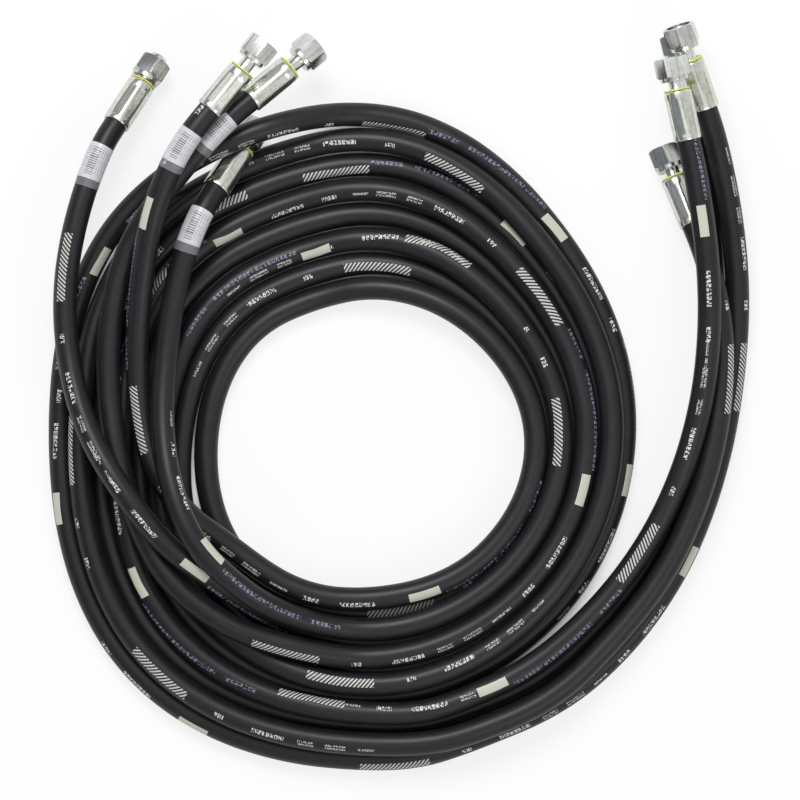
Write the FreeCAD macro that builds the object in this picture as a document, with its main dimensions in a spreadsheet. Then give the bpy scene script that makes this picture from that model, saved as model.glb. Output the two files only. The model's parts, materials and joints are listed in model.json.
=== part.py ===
import FreeCAD
import Part
import Sketcher
import math
import os

V = FreeCAD.Vector

# Four hose assemblies of one build, coiled together and lying flat. Millimetres, Z up, X to the
# right and Y away from the viewer as the coil is seen from above.
SIZES = [
    ("hose_od", 17.4), ("braid_od", 14.9), ("tube_od", 12.5), ("tube_id", 9.5),
    ("label_thick", 0.25), ("label_half", 75.0), ("sleeve_thick", 0.4), ("sleeve_long", 32.0),
    ("sleeve_start", 20.0), ("label_long", 26.0),
    ("ferrule_long", 37.0), ("ferrule_od", 20.5), ("ferrule_flats", 19.7), ("mouth_chamfer", 0.8),
    ("ferrule_chamfer", 1.6), ("crimp_start", 4.0), ("crimp_end", 31.0), ("lip_id", 12.0),
    ("lip_thick", 3.0), ("hose_depth", 33.0), ("ring_thick", 1.2), ("ring_od", 19.6),
    ("stem_bore", 7.0), ("tail_start", 2.0), ("tail_chamfer", 0.6), ("collar_back", 0.4),
    ("neck_od", 11.0), ("shoulder_at", 53.0), ("shoulder_od", 15.6), ("shoulder_thick", 2.5),
    ("cone_od", 14.4), ("cone_half_angle", 12.0), ("cone_long", 6.0), ("groove_from_shoulder", 1.2),
    ("groove_wide", 1.7), ("groove_od", 11.4), ("cord_od", 1.5),
    ("nut_flats", 22.0), ("nut_long", 17.5), ("hex_chamfer", 1.0), ("collar_long", 3.0),
    ("collar_od", 21.0), ("collar_chamfer", 0.6), ("nut_clearance", 0.06), ("nut_hole_long", 4.06),
    ("thread_bore", 16.38), ("thread_chamfer", 0.7),
    ("floor_low", 8.2), ("stack_pitch", 18.7), ("frame_x", -18.86), ("frame_y", -32.48),
]
doc = FreeCAD.newDocument("hose_set")
sheet = doc.addObject("Spreadsheet::Sheet", "sizes")
for row, (name, value) in enumerate(SIZES, 1):
    sheet.set("A%d" % row, str(value))
    sheet.setAlias("A%d" % row, name)
doc.recompute()


def size(name):
    return float(sheet.get(name))


SHIFT = V(size("frame_x"), size("frame_y"), 0)
LOW = size("floor_low")


def spaced(first, step, count):
    return [first + step * i for i in range(count)]


# Column radii of the turns at eight stations of a turn, inner to outer. Station 0 is at the
# bottom of the coil and the stations go on anticlockwise, 45 degrees apart.
COLUMNS = [
    [115.0, 126.0, 137.5, 148.0, 158.0, 167.6, 178.0, 187.4, 199.0, 207.5, 221.5, 232.5],
    spaced(116.5, 9.3, 8),
    spaced(119.0, 9.25, 8),
    spaced(112.4, 12.3, 7) + [199.3],
    spaced(112.0, 18.05, 8),
    spaced(118.4, 18.05, 6) + [225.4, 245.4],
    [122.0, 140.8] + spaced(155.4, 14.7, 6),
    [131.0, 158.5] + spaced(174.0, 13.5, 6),
]
# Columns that rest in the valley between their two lower neighbours, at the same stations
UPPER = [(0, 2, 4, 6, 8, 10), (0, 2, 4, 6), (0, 2, 4, 6), (0, 2, 4, 6), (), (2, 4, 6),
         (2, 4, 6), (2, 4, 6)]
TOP = 4
# A turn past the top station the outermost column climbs over the nut that lies under it
HUMP = 43.4

# Each hose: the free run from its left end down onto the coil, three stations given by hand
# where it comes down (quarter turn, radius, height), the column it keeps in each turn, the
# column it leaves by, and the free run to its right end. Points are (x, y, z) from the centre.
HOSES = {
    "a": {
        "start": [(-170.9, 257.9, 20.6), (-199.8, 211.9, 37.7), (-217, 161, 40), (-225.5, 110, 36),
                  (-222.5, 59, 37), (-209, 8, 49), (-183, -36, 60), (-151, -75, 54.5)],
        "lead": 26, "down": [(-0.5, 151.5, 38), (-0.25, 147, 15)], "start_slope": (-44, -90),
        "turns": [3, 7], "leaves": 11, "end_slope": 3,
        "end": [(72.5, -219, 8.7), (139, -191.2, 8.7), (187.3, -147.3, 8.7),
                (220.4, -99.8, 8.7), (241.2, -53.6, 8.7), (256.1, -2.5, 8.7), (264.4, 50.7, 9),
                (267.5, 106, 14), (262.6, 161.5, 19), (251.1, 217.4, 26.1), (232, 273.4, 36.3)],
    },
    "b": {
        "start": [(-97.5, 265.4, 71.2), (-138.1, 215.6, 75.3), (-158.5, 172.5, 70.5),
                  (-168, 123.5, 51),
                  (-172.5, 72.5, 40), (-170, 24, 36), (-161.5, -17, 40.5),
                  (-138.5, -52, 36.5)],
        "lead": 26, "down": [(-0.5, 125.5, 27), (-0.25, 120.5, 25)], "start_slope": (-28, -6),
        "turns": [0, 1, 5], "leaves": 9, "end_slope": 10,
        "end": [(62, -199.5, 8.7), (122.5, -175, 8.7), (168, -132.5, 8.7), (203, -88, 8.7),
                (226, -38, 8.7), (238.6, 13.2, 8.7), (246, 66.7, 8.7), (249.5, 123.5, 8.7),
                (242.6, 204, 9.9), (226.6, 270.2, 12.5)],
    },
    "c": {
        "start": [(-64.3, 268.6, 49), (-111.1, 229.7, 60.7), (-149.5, 185.5, 51),
                  (-180.5, 139.5, 40.5), (-192, 90, 38), (-193.5, 38.5, 36), (-187, -11, 39.5),
                  (-173, -57.5, 39.5)],
        "lead": 34, "down": [(-0.5, 174, 40), (-0.25, 161.5, 33.5)], "start_slope": (-34, -6),
        "turns": [4], "leaves": 8, "end_slope": 10,
        "end": [(60.5, -191.5, 24.9), (115.3, -166.8, 24.6), (162.3, -125.8, 24.6),
                (198.5, -79.8, 25), (223.8, -29.5, 29.5), (239.2, 23.5, 37), (245.4, 76.4, 44),
                (244.2, 130.5, 50.5), (235.9, 188.4, 53.5), (221.9, 250.9, 55)],
    },
    "d": {
        "start": [(-98.5, 209, 26.1), (-129, 160, 50.6), (-144, 114, 47), (-151, 63, 43),
                  (-154, 11.5, 49), (-146.5, -37, 61)],
        "lead": 36, "down": [(-0.5, 144, 56.5), (-0.25, 140, 33.5)], "start_slope": (-12, -50),
        "turns": [2, 6], "leaves": 10, "end_slope": 10,
        "end": [(67.6, -215.6, 26.3), (131.2, -189.1, 26), (177.5, -143, 25), (212.5, -98.6, 25.2),
                (235.8, -49.5, 25.8), (250.5, 0.9, 26), (255.9, 52.1, 26), (253.5, 93, 29),
                (243.7, 133.4, 29), (221.8, 188.5, 19.2)],
    },
}
LEAD_OUT = 30.0
# How far each nut's back edge stands from the mouth of its ferrule, left end and right end
NUT_AT = {"a": (40.0, 46.4), "b": (46.6, 43.6), "c": (46.6, 44.0), "d": (44.6, 43.6)}
# How far a corner of each hexagon is turned from the top, clockwise as seen from the hose
NUT_TURN = {"a": (6.5, -13.0), "b": (9.5, 0.0), "c": (-24.0, -25.0), "d": (0.0, 0.0)}


def rest_height(station, column):
    """Height of a turn: on the floor, or in the valley between its two lower neighbours."""
    if column not in UPPER[station]:
        return LOW
    radii = COLUMNS[station]
    gaps = [abs(radii[i] - radii[column]) for i in (column - 1, column + 1) if 0 <= i < len(radii)]
    gap = min(min(gaps), size("stack_pitch"))
    return LOW + math.sqrt(size("stack_pitch") ** 2 - gap ** 2)


def stations(hose):
    """The hand-chosen and ruled stations of a hose on the coil: (quarter turn, radius, height)."""
    found = list(hose["down"])
    path = [column for column in hose["turns"] for _ in range(8)] + [hose["leaves"]]
    for step, column in enumerate(path):
        place = step % 8
        height = rest_height(place, column)
        if place == TOP and column in UPPER[TOP - 1]:
            height = LOW + 6.5
        if column == 7 and place == TOP:
            height = LOW + 3.0
        if column == 7 and place == TOP + 1:
            height = 20.5
        found.append((step / 2.0, COLUMNS[place][column], height))
        if place == TOP:
            over = column == 7
            found.append((step / 2.0 + 0.25, 241.0 if over else 112.4 + 18.05 * column,
                          HUMP if over else LOW))
    return found


def slope_table(found, hose):
    """Slopes of radius and height at the stations, height slopes without overshoot."""
    slopes = [hose["start_slope"]]
    for before, here, after in zip(found, found[1:], found[2:]):
        wide = (here[0] - before[0], after[0] - here[0])
        radial = ((here[1] - before[1]) / wide[0], (after[1] - here[1]) / wide[1])
        rise = ((here[2] - before[2]) / wide[0], (after[2] - here[2]) / wide[1])
        turn = (radial[0] * wide[1] + radial[1] * wide[0]) / (wide[0] + wide[1])
        lift = 0.0
        if rise[0] * rise[1] > 0:
            lift = 2 * rise[0] * rise[1] / (rise[0] + rise[1])
        slopes.append((turn, lift))
    slopes.append((hose["end_slope"], 0.0))
    return slopes


def station_point(found, index):
    turn, radius, height = found[index]
    angle = math.radians(270 + 90 * turn)
    return V(radius * math.cos(angle), radius * math.sin(angle), height)


def station_tangent(found, slopes, index):
    turn, radius, height = found[index]
    angle = math.radians(270 + 90 * turn)
    out = V(math.cos(angle), math.sin(angle), 0)
    along = V(-math.sin(angle), math.cos(angle), 0)
    step = out * slopes[index][0] + along * (radius * math.pi / 2) + V(0, 0, slopes[index][1])
    return step.normalize()


def biarc(start, go, finish, arrive):
    """Two corners of the pair of arcs that joins two points with given directions."""
    gap = finish - start
    both = go + arrive
    square = 4 - both.dot(both)
    if square < 1e-9:
        reach = gap.dot(gap) / (2 * gap.dot(both))
    else:
        half = gap.dot(both)
        reach = (-half + math.sqrt(half * half + square * gap.dot(gap))) / square
    first = start + go * reach
    second = finish - arrive * reach
    middle = (first + second) * 0.5
    return [(start, first, middle), (middle, second, finish)]


def arc_edge(start, corner, finish):
    """The arc from start to finish whose tangents meet at corner."""
    into = (corner - start).normalize()
    away = (finish - corner).normalize()
    turn = into.getAngle(away)
    if turn < 1e-5:
        return Part.makeLine(start, finish)
    inward = (away - into * into.dot(away)).normalize()
    radius = (corner - start).Length / math.tan(turn / 2)
    middle = start + into * (radius * math.sin(turn / 2)) + inward * (radius * (1 - math.cos(turn / 2)))
    return Part.Arc(start, middle, finish).toShape()


def run_edges(points):
    """Straight runs joined by tangent arcs, and the radii of the arcs."""
    edges = []
    radii = []
    here = points[0]
    for before, corner, after in zip(points, points[1:], points[2:]):
        into = (corner - before).normalize()
        away = (after - corner).normalize()
        reach = 0.45 * min((corner - before).Length, (after - corner).Length)
        start = corner - into * reach
        finish = corner + away * reach
        edges.append(Part.makeLine(here, start))
        edges.append(arc_edge(start, corner, finish))
        radii.append(reach / math.tan(into.getAngle(away) / 2))
        here = finish
    edges.append(Part.makeLine(here, points[-1]))
    return edges, radii


def route(hose):
    """Edges of the free start run, the turns and the free end run, and the two end axes."""
    found = stations(hose)
    slopes = slope_table(found, hose)
    points = [station_point(found, i) + SHIFT for i in range(len(found))]
    ways = [station_tangent(found, slopes, i) for i in range(len(found))]
    start = [V(*p) + SHIFT for p in hose["start"]]
    start += [points[0] - ways[0] * hose["lead"], points[0]]
    end = [points[-1], points[-1] + ways[-1] * LEAD_OUT]
    end += [V(*p) + SHIFT for p in hose["end"]]
    turns = []
    for i in range(len(points) - 1):
        for corner in biarc(points[i], ways[i], points[i + 1], ways[i + 1]):
            turns.append(arc_edge(*corner))
    start_edges, start_radii = run_edges(start)
    end_edges, end_radii = run_edges(end)
    return start_edges, turns, end_edges, start_radii + end_radii


def show(label, shape):
    """A document object that carries a swept shape under the name of its piece."""
    piece = doc.addObject("Part::Feature", label)
    piece.Label = label
    piece.Shape = shape
    return piece


def swept(edges, radius):
    """A solid round bar along a chain of edges."""
    first = edges[0]
    at = first.valueAt(first.FirstParameter)
    way = first.tangentAt(first.FirstParameter)
    ring = Part.Wire([Part.makeCircle(radius, at, way)])
    return Part.Wire(edges).makePipeShell([ring], True, False)


def hollow(edges, outer, inner):
    return swept(edges, outer / 2).cut(swept(edges, inner / 2))


def part_of(edges, start, finish):
    """The stretch of a chain of edges between two lengths from its beginning."""
    found = []
    done = 0.0
    for edge in edges:
        low = max(start - done, 0.0)
        high = min(finish - done, edge.Length)
        if high - low > 1e-6:
            found.append(edge.Curve.toShape(edge.getParameterByLength(low),
                                            edge.getParameterByLength(high)))
        done += edge.Length
    return found


def turned(label, profile):
    """A body turned about X from a closed profile of (x, radius) expressions on the sheet."""
    body = doc.addObject("PartDesign::Body", label)
    body.Label = label
    plane = [item for item in body.Origin.OriginFeatures if item.Role == "XY_Plane"][0]
    sketch = body.newObject("Sketcher::SketchObject", label + "_profile")
    sketch.AttachmentSupport = [(plane, "")]
    sketch.MapMode = "FlatFace"
    corners = [V(*corner_guess(i, len(profile))) for i in range(len(profile))]
    for i, corner in enumerate(corners):
        sketch.addGeometry(Part.LineSegment(corner, corners[(i + 1) % len(corners)]), False)
    for i in range(len(corners)):
        after = (i + 1) % len(corners)
        sketch.addConstraint(Sketcher.Constraint("Coincident", i, 2, after, 1))
    for i, (along, out) in enumerate(profile):
        for kind, value in (("DistanceX", along), ("DistanceY", out)):
            if kind == "DistanceX" and value == "0":
                sketch.addConstraint(Sketcher.Constraint("PointOnObject", i, 1, -2))
                continue
            start = corners[i].x if kind == "DistanceX" else corners[i].y
            number = sketch.addConstraint(Sketcher.Constraint(kind, -1, 1, i, 1, start))
            sketch.setExpression("Constraints[%d]" % number, value)
    turn = body.newObject("PartDesign::Revolution", label + "_turn")
    turn.Profile = sketch
    turn.ReferenceAxis = (sketch, ["H_Axis"])
    turn.Angle = 360
    body.Tip = turn
    return body


def corner_guess(index, count):
    """Corners of a rough round start shape, which the constraints then pull into place."""
    angle = -2 * math.pi * index / count - math.pi / 2
    return 15 + 12 * math.cos(angle), 15 + 8 * math.sin(angle), 0


def fitting_place(tip, inner):
    """Placement of a fitting: X runs out of the hose and starts at the ferrule's mouth."""
    out = (tip - inner).normalize()
    side = V(0, 0, 1).cross(out).normalize()
    turn = FreeCAD.Rotation(out, side, out.cross(side), "XYZ")
    return FreeCAD.Placement(tip - out * size("hose_depth"), turn)


def along_x(place, distance):
    return FreeCAD.Placement(place.multVec(V(distance, 0, 0)), place.Rotation)


UPRIGHT = FreeCAD.Placement(V(0, 0, 0), FreeCAD.Rotation(V(0, 1, 0), 90))


def make_ferrule(label, place):
    """Crimped shell: turned, then pressed flat by eight jaws between its two ends."""
    blank = turned(label + "_blank", [
        ("0", "sizes.hose_od / 2"),
        ("0", "sizes.ferrule_od / 2 - sizes.mouth_chamfer"),
        ("sizes.mouth_chamfer", "sizes.ferrule_od / 2"),
        ("sizes.ferrule_long - sizes.ferrule_chamfer", "sizes.ferrule_od / 2"),
        ("sizes.ferrule_long", "sizes.ferrule_od / 2 - sizes.ferrule_chamfer"),
        ("sizes.ferrule_long", "sizes.lip_id / 2"),
        ("sizes.ferrule_long - sizes.lip_thick", "sizes.lip_id / 2"),
        ("sizes.ferrule_long - sizes.lip_thick", "sizes.hose_od / 2")])
    round_bar = doc.addObject("Part::Cylinder", label + "_round")
    round_bar.setExpression("Radius", "sizes.ferrule_od")
    round_bar.setExpression("Height", "sizes.crimp_end - sizes.crimp_start")
    jaws = doc.addObject("Part::Prism", label + "_jaws")
    jaws.Polygon = 8
    jaws.setExpression("Circumradius", "sizes.ferrule_flats / 2 / cos(22.5 deg)")
    jaws.setExpression("Height", "sizes.crimp_end - sizes.crimp_start")
    for tool in (round_bar, jaws):
        tool.Placement = UPRIGHT
        tool.setExpression("Placement.Base.x", "sizes.crimp_start")
    waste = doc.addObject("Part::Cut", label + "_waste")
    waste.Base = round_bar
    waste.Tool = jaws
    ferrule = doc.addObject("Part::Cut", label)
    ferrule.Label = label
    ferrule.Base = blank
    ferrule.Tool = waste
    ferrule.Placement = place
    return ferrule


CONE_START = "sizes.shoulder_at + sizes.shoulder_thick"
GROOVE = CONE_START + " + sizes.groove_from_shoulder"


def cone_radius(beyond):
    """Radius of the sealing cone at a distance beyond the shoulder's front face."""
    return "sizes.cone_od / 2 - (%s) * tan(sizes.cone_half_angle * 1 deg)" % beyond


def make_stem(label, place):
    """Stem: tail in the hose, collar in the ferrule's lip, neck, shoulder and sealing cone."""
    collar_back = "sizes.hose_depth + sizes.collar_back"
    collar_front = "sizes.ferrule_long + sizes.ring_thick"
    groove_end = "sizes.groove_from_shoulder + sizes.groove_wide"
    stem = turned(label, [
        ("sizes.tail_start", "sizes.stem_bore / 2"),
        ("sizes.tail_start", "sizes.tube_id / 2 - sizes.tail_chamfer"),
        ("sizes.tail_start + sizes.tail_chamfer", "sizes.tube_id / 2"),
        (collar_back, "sizes.tube_id / 2"),
        (collar_back, "sizes.lip_id / 2"),
        (collar_front, "sizes.lip_id / 2"),
        (collar_front, "sizes.neck_od / 2"),
        ("sizes.shoulder_at - (sizes.shoulder_od - sizes.neck_od) / 2", "sizes.neck_od / 2"),
        ("sizes.shoulder_at", "sizes.shoulder_od / 2"),
        (CONE_START, "sizes.shoulder_od / 2"),
        (CONE_START, "sizes.cone_od / 2"),
        (GROOVE, cone_radius("sizes.groove_from_shoulder")),
        (GROOVE, "sizes.groove_od / 2"),
        (GROOVE + " + sizes.groove_wide", "sizes.groove_od / 2"),
        (GROOVE + " + sizes.groove_wide", cone_radius(groove_end)),
        (CONE_START + " + sizes.cone_long", cone_radius("sizes.cone_long")),
        (CONE_START + " + sizes.cone_long", "sizes.stem_bore / 2")])
    stem.Placement = place
    return stem


def make_nut(label, place, turn):
    """Swivel nut: round back collar, chamfered hexagon, smooth hole, seat and thread bore."""
    hole = "sizes.neck_od / 2 + sizes.nut_clearance"
    corner = "sizes.nut_flats / 2 / cos(30 deg)"
    rim = corner + " - sizes.hex_chamfer * 1.4"
    blank = turned(label + "_blank", [
        ("0", hole),
        ("0", "sizes.collar_od / 2 - sizes.collar_chamfer"),
        ("sizes.collar_chamfer", "sizes.collar_od / 2"),
        ("sizes.collar_long", "sizes.collar_od / 2"),
        ("sizes.collar_long", rim),
        ("sizes.collar_long + sizes.hex_chamfer", corner),
        ("sizes.nut_long - sizes.hex_chamfer", corner),
        ("sizes.nut_long", rim),
        ("sizes.nut_long", "sizes.thread_bore / 2 + sizes.thread_chamfer"),
        ("sizes.nut_long - sizes.thread_chamfer", "sizes.thread_bore / 2"),
        ("sizes.nut_hole_long + sizes.thread_bore / 2 - (%s)" % hole, "sizes.thread_bore / 2"),
        ("sizes.nut_hole_long", hole)])
    hexagon = doc.addObject("Part::Prism", label + "_hexagon")
    hexagon.Polygon = 6
    hexagon.setExpression("Circumradius", "sizes.nut_flats / 2 / cos(30 deg)")
    hexagon.setExpression("Height", "sizes.nut_long")
    roll = FreeCAD.Placement(V(0, 0, 0), FreeCAD.Rotation(V(1, 0, 0), turn))
    hexagon.Placement = roll.multiply(UPRIGHT)
    nut = doc.addObject("Part::Common", label)
    nut.Label = label
    nut.Base = blank
    nut.Tool = hexagon
    nut.Placement = place
    return nut


def make_marker_ring(label, place):
    """Coloured ring against the ferrule's end, on the stem's collar."""
    ring = turned(label, [
        ("sizes.ferrule_long", "sizes.lip_id / 2"),
        ("sizes.ferrule_long", "sizes.ring_od / 2"),
        ("sizes.ferrule_long + sizes.ring_thick", "sizes.ring_od / 2"),
        ("sizes.ferrule_long + sizes.ring_thick", "sizes.lip_id / 2")])
    ring.Placement = place
    return ring


def make_seal(label, place):
    """Seal ring in the groove of the cone."""
    seal = doc.addObject("Part::Torus", label)
    seal.setExpression("Radius1", "(sizes.groove_od + sizes.cord_od) / 2")
    seal.setExpression("Radius2", "sizes.cord_od / 2")
    middle = (size("shoulder_at") + size("shoulder_thick") + size("groove_from_shoulder")
              + size("groove_wide") / 2)
    seal.Placement = along_x(place, middle).multiply(UPRIGHT)
    return seal


def pair(label, items):
    """Two like pieces kept as separate solids of one node."""
    both = doc.addObject("Part::Compound", label)
    both.Label = label
    both.Links = items
    return both


def make_label(edges, half_angle):
    """Curved strip over the upper side of the cover, inside the clear sleeve."""
    first = edges[0]
    at = first.valueAt(first.FirstParameter)
    way = first.tangentAt(first.FirstParameter)
    side = V(0, 0, 1).cross(way).normalize()
    over = way.cross(side)

    def rim(radius, degrees):
        angle = math.radians(degrees)
        return at + over * (radius * math.cos(angle)) + side * (radius * math.sin(angle))

    inner = size("hose_od") / 2
    outer = inner + size("label_thick")
    rims = [
        Part.Arc(rim(outer, -half_angle), rim(outer, 0), rim(outer, half_angle)).toShape(),
        Part.makeLine(rim(outer, half_angle), rim(inner, half_angle)),
        Part.Arc(rim(inner, half_angle), rim(inner, 0), rim(inner, -half_angle)).toShape(),
        Part.makeLine(rim(inner, -half_angle), rim(outer, -half_angle))]
    return Part.Wire(edges).makePipeShell([Part.Wire(rims)], True, False)


# The covers are pressed flat on the floor, which is wider than the whole coil
FLOOR_WIDE = 900


def make_hose(key, hose):
    """All pieces of one hose assembly."""
    start, turns, end, radii = route(hose)
    whole = start + turns + end
    od = size("hose_od")
    braid = size("braid_od")
    label_od = od + 2 * size("label_thick")
    floor = Part.makeBox(FLOOR_WIDE, FLOOR_WIDE, od, V(-FLOOR_WIDE / 2, -FLOOR_WIDE / 2, -od))
    pieces = [show("cover_start_" + key, hollow(start, od, braid)),
              show("cover_coil_" + key, hollow(turns, od, braid).cut(floor)),
              show("cover_end_" + key, hollow(end, od, braid).cut(floor)),
              show("braid_" + key, hollow(whole, braid, size("tube_od"))),
              show("tube_" + key, hollow(whole, size("tube_od"), size("tube_id")))]
    from_tip = size("hose_depth") + size("sleeve_start")
    sleeve_edges = part_of(start, from_tip, from_tip + size("sleeve_long"))
    label_edges = part_of(start, from_tip, from_tip + size("label_long"))
    sleeve_od = label_od + 2 * size("sleeve_thick")
    pieces.append(show("sleeve_" + key, hollow(sleeve_edges, sleeve_od, label_od)))
    pieces.append(show("label_" + key, make_label(label_edges, size("label_half"))))
    tips = ((start[0], False), (end[-1], True))
    rings = []
    seals = []
    for (edge, far), side, nut_at, roll in zip(tips, ("start", "end"), NUT_AT[key], NUT_TURN[key]):
        tip = edge.valueAt(edge.LastParameter if far else edge.FirstParameter)
        inner = edge.valueAt(edge.FirstParameter if far else edge.LastParameter)
        place = fitting_place(tip, inner)
        name = "%s_%s" % (side, key)
        pieces.append(make_ferrule("ferrule_" + name, place))
        pieces.append(make_stem("stem_" + name, place))
        pieces.append(make_nut("nut_" + name, along_x(place, nut_at), roll))
        rings.append(make_marker_ring("ring_" + name, place))
        seals.append(make_seal("seal_" + name, place))
    pieces.append(pair("rings_" + key, rings))
    pieces.append(pair("seals_" + key, seals))
    print("hose", key, "arc radii", [round(radius) for radius in radii])
    print("hose", key, "length", round(Part.Wire(whole).Length, 1))
    ring_area = math.pi * (braid ** 2 - size("tube_od") ** 2) / 4
    print("hose", key, "braid volume over section times length",
          round(pieces[3].Shape.Volume / (ring_area * Part.Wire(whole).Length), 5))
    print("hose", key, "least gap of the turns to themselves", round(turn_gap(turns, od), 2))
    return pieces


def turn_gap(edges, od):
    """Least gap between points of the turns that lie more than a third of a turn apart."""
    step = 6.0
    apart = 40
    points = Part.Wire(edges).discretize(Distance=step)
    least = od * apart
    for i, here in enumerate(points):
        for there in points[i + apart:]:
            least = min(least, (here - there).Length - od)
    return least


pieces = []
for key, hose in HOSES.items():
    pieces += make_hose(key, hose)
doc.recompute()

os.makedirs("parts", exist_ok=True)
for item in doc.Objects:
    bad = [word for word in item.State if word in ("Invalid", "Error")]
    if bad:
        raise SystemExit("%s is %s" % (item.Label, bad))
for piece in pieces:
    shape = piece.Shape
    if shape.isNull() or not shape.isValid():
        raise SystemExit("%s has no valid shape" % piece.Label)
    solids = 2 if piece.Label.startswith(("rings", "seals")) else 1
    if len(shape.Solids) != solids:
        raise SystemExit("%s has %d solids" % (piece.Label, len(shape.Solids)))
    shape.exportStep("parts/%s.step" % piece.Label)
box = Part.makeCompound([piece.Shape for piece in pieces]).BoundBox
print("box", [round(v, 2) for v in (box.XMin, box.XMax, box.YMin, box.YMax, box.ZMin, box.ZMax)])
print("pieces", len(pieces))
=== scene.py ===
import json
import math

import bmesh
import bpy
import numpy as np
from mathutils import Matrix, Vector

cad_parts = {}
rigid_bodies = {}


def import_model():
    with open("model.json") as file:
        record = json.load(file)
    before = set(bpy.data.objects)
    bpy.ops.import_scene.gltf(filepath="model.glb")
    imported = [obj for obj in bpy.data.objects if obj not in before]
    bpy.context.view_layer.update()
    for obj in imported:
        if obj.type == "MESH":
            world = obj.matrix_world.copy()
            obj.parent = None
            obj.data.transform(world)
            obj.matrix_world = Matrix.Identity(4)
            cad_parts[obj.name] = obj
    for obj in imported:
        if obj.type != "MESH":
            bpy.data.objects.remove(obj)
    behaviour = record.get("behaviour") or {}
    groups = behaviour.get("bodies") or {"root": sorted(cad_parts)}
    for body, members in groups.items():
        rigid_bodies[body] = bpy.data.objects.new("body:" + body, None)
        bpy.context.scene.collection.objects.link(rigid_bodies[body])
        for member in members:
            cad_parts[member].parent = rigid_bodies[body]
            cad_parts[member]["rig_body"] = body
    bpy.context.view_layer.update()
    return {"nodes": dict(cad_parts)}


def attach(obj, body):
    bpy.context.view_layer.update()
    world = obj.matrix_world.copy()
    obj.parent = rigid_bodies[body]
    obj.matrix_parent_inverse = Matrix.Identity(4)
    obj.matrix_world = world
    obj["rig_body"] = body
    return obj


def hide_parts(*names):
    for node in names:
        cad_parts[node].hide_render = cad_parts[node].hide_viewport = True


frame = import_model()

MM = 0.001


def placed(name, data):
    """An object in the scene."""
    holder = bpy.data.objects.new(name, data)
    bpy.context.scene.collection.objects.link(holder)
    return holder


# ---------------------------------------------------------------------------------------------
# Camera: straight above the coil, far enough away that the hoses barely lean
CAMERA_PLACE = (0.00085, -0.00255)
CAMERA_HEIGHT = 6.0
SEEN_WIDTH = 0.5865
SENSOR = 36.0

camera_data = bpy.data.cameras.new("camera")
camera = placed("camera", camera_data)
camera.location = (*CAMERA_PLACE, CAMERA_HEIGHT)
camera_data.sensor_width = SENSOR
camera_data.lens = SENSOR * CAMERA_HEIGHT / SEEN_WIDTH
camera_data.clip_start = 0.1
camera_data.clip_end = 100.0
bpy.context.scene.camera = camera

# ---------------------------------------------------------------------------------------------
# Route of the four hoses, as in the part's source
HOSE_OD = 17.4 * MM
BORE = 9.5 * MM
# How deep a hose sits in its ferrule
HOSE_DEPTH = 33.0 * MM
# A hose runs straight out of each fitting: its line has one more point this far from a tip
STRAIGHT = 24.0 * MM
# Between the last turn and the free run to the right the line has one more point as well
LEAD_OUT = 30.0 * MM
# Height of the axis of a turn on the floor, and from axis to axis where turns lie on each other
LOW = 8.2 * MM
PITCH = 18.7 * MM
# From the coil's middle to the middle of the whole
SHIFT = Vector((-18.86, -32.48, 0)) * MM
# Past the station at the top of the coil the turns lie side by side: radii in millimetres
TOP = 4
TOP_FIRST = 112.4
TOP_STEP = 18.05
TOP_HEIGHT = LOW + 6.5 * MM
# One column swings out there and passes over the others in a long hump
CROSSING = 7
CROSSING_RADIUS = 241.0
BEFORE_HUMP = LOW + 3.0 * MM
HUMP = 43.4 * MM
AFTER_HUMP = 20.5 * MM
# Quarter turns from one control point of the coil to the next. Each stands outside the line by a
# share of the bend there, so that the smooth line keeps to it.
TURN_STEP = 0.125
OUTSIDE = 0.125


def spaced(first, step, count):
    return [first + step * i for i in range(count)]


# Column radii in millimetres at eight stations of a turn, 45 degrees apart, from the bottom on
COLUMNS = [
    [115.0, 126.0, 137.5, 148.0, 158.0, 167.6, 178.0, 187.4, 199.0, 207.5, 221.5, 232.5],
    spaced(116.5, 9.3, 8),
    spaced(119.0, 9.25, 8),
    spaced(112.4, 12.3, 7) + [199.3],
    spaced(112.0, 18.05, 8),
    spaced(118.4, 18.05, 6) + [225.4, 245.4],
    [122.0, 140.8] + spaced(155.4, 14.66, 6),
    [131.0, 158.5] + spaced(174.0, 13.5, 6),
]
# The columns that lie on their neighbours at each station
UPPER = [(0, 2, 4, 6, 8, 10), (0, 2, 4, 6), (0, 2, 4, 6), (0, 2, 4, 6), (), (2, 4, 6),
         (2, 4, 6), (2, 4, 6)]

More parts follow.
